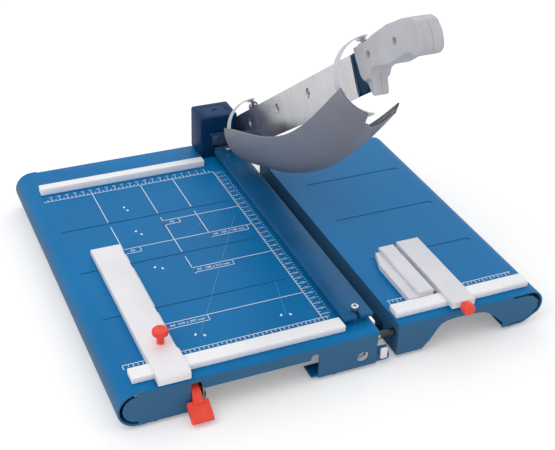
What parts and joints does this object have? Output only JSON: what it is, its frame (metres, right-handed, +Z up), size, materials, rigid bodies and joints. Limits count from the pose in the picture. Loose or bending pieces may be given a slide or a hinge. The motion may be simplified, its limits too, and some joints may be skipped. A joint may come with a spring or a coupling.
{
  "type": "guillotine paper cutter",
  "caption": "Guillotine paper cutter with a long lever blade, a turning blade guard, a paper clamp, fences, a sliding back gauge, and a side table with a strip gauge.",
  "frame": {"origin": "middle of the machine's footprint, with its blade raised, on the desk under its feet", "axes": "X runs to the right across the machine, square to the cut; Y runs back along the cut; Z is up"},
  "size_m": [0.4964, 0.4758, 0.3972],
  "materials": {
    "blue_paint": "satin blue powder coat",
    "dark_blue_paint": "satin dark blue enamel",
    "fence_paint": "smooth light grey coat",
    "gauge_plastic": "moulded light grey plastic",
    "guard_plastic": "moulded mid grey plastic",
    "hoop_steel": "light grey coated spring steel",
    "handle_plastic": "fine textured light grey plastic",
    "red_plastic": "glossy red plastic",
    "ground_steel": "ground blade steel",
    "bright_steel": "bright zinc plated steel",
    "dark_steel": "blackened steel",
    "black_rubber": "matt black rubber"
  },
  "bodies": {
    "base": {"main_table": "blue_paint", "side_table": "blue_paint", "rear_fence": "fence_paint", "front_fence": "fence_paint", "side_fence": "fence_paint", "tower_housing": "blue_paint", "tower_cap": "dark_blue_paint", "pivot_block": "bright_steel", "pivot_bolt": "bright_steel", "pivot_bush": "bright_steel", "pivot_washer": "bright_steel", "pivot_nut": "bright_steel", "knife_beam": "dark_blue_paint", "lower_knife": "ground_steel", "beam_bolt": "bright_steel", "link_rod": "bright_steel", "link_collar": "bright_steel", "link_sleeve": "dark_steel", "link_bracket": "blue_paint", "gap_tray": "dark_blue_paint", "suction_bracket": "bright_steel", "lever_pin": "bright_steel", "suction_cup": "black_rubber", "clamp_bolt_front": "bright_steel", "clamp_bolt_rear": "bright_steel", "clamp_spring_front": "bright_steel", "clamp_spring_rear": "bright_steel", "foot_front_left": "black_rubber", "foot_front_right": "black_rubber", "foot_rear_left": "black_rubber", "foot_rear_right": "black_rubber", "side_foot_front": "black_rubber", "side_foot_rear": "black_rubber"},
    "blade": {"blade_arm": "dark_blue_paint", "cutting_blade": "ground_steel", "blade_screw_rear": "bright_steel", "blade_screw_middle": "bright_steel", "blade_screw_front": "bright_steel", "handle_left": "handle_plastic", "handle_right": "handle_plastic", "handle_screw_near": "bright_steel", "handle_screw_far": "bright_steel", "guard_bracket_rear": "dark_steel", "guard_bracket_front": "dark_steel", "guard_pin_rear": "bright_steel", "guard_pin_front": "bright_steel"},
    "guard": {"guard_hoop_rear": "hoop_steel", "guard_hoop_front": "hoop_steel", "guard_shield": "guard_plastic"},
    "clamp": {"clamp_bar": "blue_paint"},
    "back_gauge": {"back_gauge_arm": "gauge_plastic"},
    "back_gauge_screw": {"gauge_knob": "red_plastic"},
    "strip_gauge_body": {"strip_gauge": "gauge_plastic"},
    "strip_gauge_screw": {"strip_knob": "red_plastic"},
    "strip_stop": {"strip_stop_lower": "gauge_plastic", "strip_stop_upper": "gauge_plastic"},
    "lever": {"suction_lever": "red_plastic"},
    "stem": {"cup_stem": "bright_steel"},
    "latch": {"latch_button": "gauge_plastic"}
  },
  "joints": [
    {"name": "blade_pivot", "type": "hinge", "parent": "base", "child": "blade", "pos_m": [0.04178, 0.21788, 0.064], "axis": [-1, 0, 0], "range_deg": [-35.5, 3]},
    {"name": "guard_swing", "type": "hinge", "parent": "blade", "child": "guard", "pos_m": [0.05378, 0.2324, 0.08435], "axis": [0, 0.8141, -0.5807], "range_deg": [-12, 141]},
    {"name": "clamp_travel", "type": "slide", "parent": "base", "child": "clamp", "axis": [0, 0, 1], "range_m": [-0.0041, 0.001], "deforming": ["clamp_spring_front", "clamp_spring_rear"]},
    {"name": "back_gauge_slide", "type": "slide", "parent": "base", "child": "back_gauge", "axis": [1, 0, 0], "range_m": [-0.02, 0.16]},
    {"name": "gauge_knob_turn", "type": "hinge", "parent": "back_gauge", "child": "back_gauge_screw", "pos_m": [-0.18522, -0.15912, 0.056], "axis": [0, 0, 1], "range_deg": [-180, 180]},
    {"name": "strip_gauge_slide", "type": "slide", "parent": "base", "child": "strip_gauge_body", "axis": [1, 0, 0], "range_m": [-0.02, 0.065]},
    {"name": "strip_knob_turn", "type": "hinge", "parent": "strip_gauge_body", "child": "strip_gauge_screw", "pos_m": [0.14078, -0.21612, 0.0543], "axis": [0, 1, 0], "range_deg": [-180, 180]},
    {"name": "strip_stop_adjust", "type": "slide", "parent": "strip_gauge_body", "child": "strip_stop", "axis": [1, 0, 0], "range_m": [-0.012, 0.005]},
    {"name": "lever_lift", "type": "hinge", "parent": "base", "child": "lever", "pos_m": [-0.16672, -0.19612, 0.032], "axis": [-1, 0, 0], "range_deg": [0, 16]},
    {"name": "stem_travel", "type": "slide", "parent": "base", "child": "stem", "axis": [0, 0, -1], "range_m": [0, 0.0035]},
    {"name": "latch_press", "type": "slide", "parent": "base", "child": "latch", "axis": [0, 1, 0], "range_m": [0, 0.002], "stiffness_N_per_m": 300}
  ],
  "couplings": [
    {"joint": "guard_swing", "follows": "blade_pivot", "ratio": -3.9437},
    {"joint": "clamp_travel", "follows": "blade_pivot", "m_per_rad": 0.00646},
    {"joint": "stem_travel", "follows": "lever_lift", "m_per_rad": 0.012}
  ]
}
